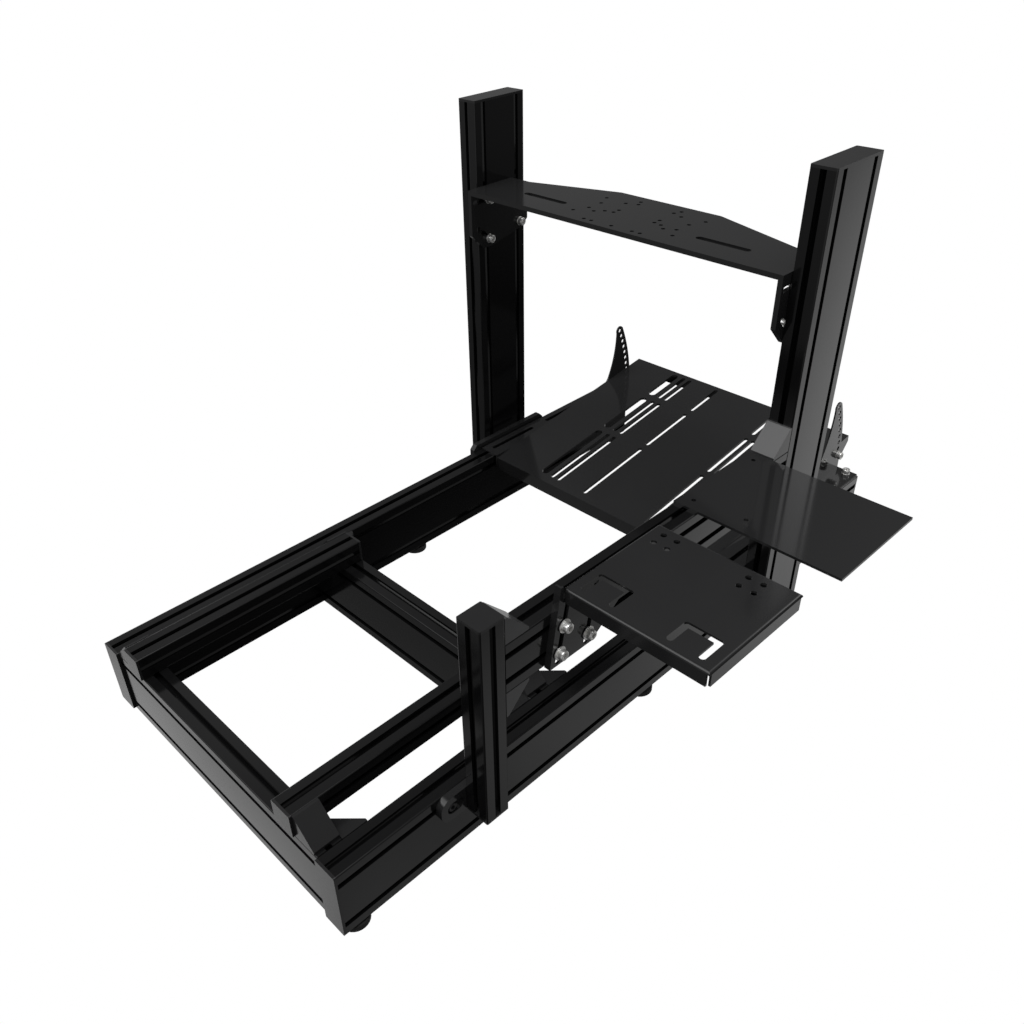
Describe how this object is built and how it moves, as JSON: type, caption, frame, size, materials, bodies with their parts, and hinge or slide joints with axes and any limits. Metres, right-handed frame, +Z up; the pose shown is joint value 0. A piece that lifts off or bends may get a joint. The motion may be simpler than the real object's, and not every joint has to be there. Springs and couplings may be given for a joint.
{
  "type": "racing seat cockpit frame",
  "caption": "Black racing simulator frame of slotted aluminium profiles with seat rails, a wheel deck, a tilted slotted pedal plate, a side shifter plate and a small tray.",
  "frame": {"origin": "on the floor, under the middle of the whole object's bounding box", "axes": "+X to the driver's right, +Y forward towards the pedals, +Z up"},
  "size_m": [0.93, 1.2944, 0.798],
  "materials": {
    "profile": "black anodised, satin",
    "cap": "matt, slightly grained",
    "plate_aluminium": "black anodised, satin",
    "plate_steel": "black powder coat, fine grain",
    "bracket": "black powder coat, smooth",
    "foot": "matt"
  },
  "bodies": {
    "root": {"base_rail_right": "profile", "base_rail_left": "profile", "base_rail_caps": "cap", "rear_cross_beam": "profile", "mid_cross_beam": "profile", "seat_rail_right": "profile", "seat_rail_left": "profile", "seat_rail_caps": "cap", "upright_right": "profile", "upright_left": "profile", "upright_caps": "cap", "upright_plate_right": "plate_aluminium", "upright_plate_left": "plate_aluminium", "wheel_deck": "plate_steel", "pedal_plate": "plate_steel", "tilt_fin_right": "plate_steel", "tilt_fin_left": "plate_steel", "side_post": "profile", "side_post_caps": "cap", "post_spacer": "plate_aluminium", "post_foot_bracket": "bracket", "shifter_arm": "profile", "base_corner_brackets": "bracket", "seat_rail_brackets": "bracket", "shifter_plate": "plate_steel", "tray_plate": "plate_steel", "levelling_feet": "foot", "arm_bracket_post_top": "bracket", "arm_bracket_post_bottom": "bracket", "arm_bracket_upright_top": "bracket", "arm_bracket_upright_bottom": "bracket"}
  },
  "joints": []
}
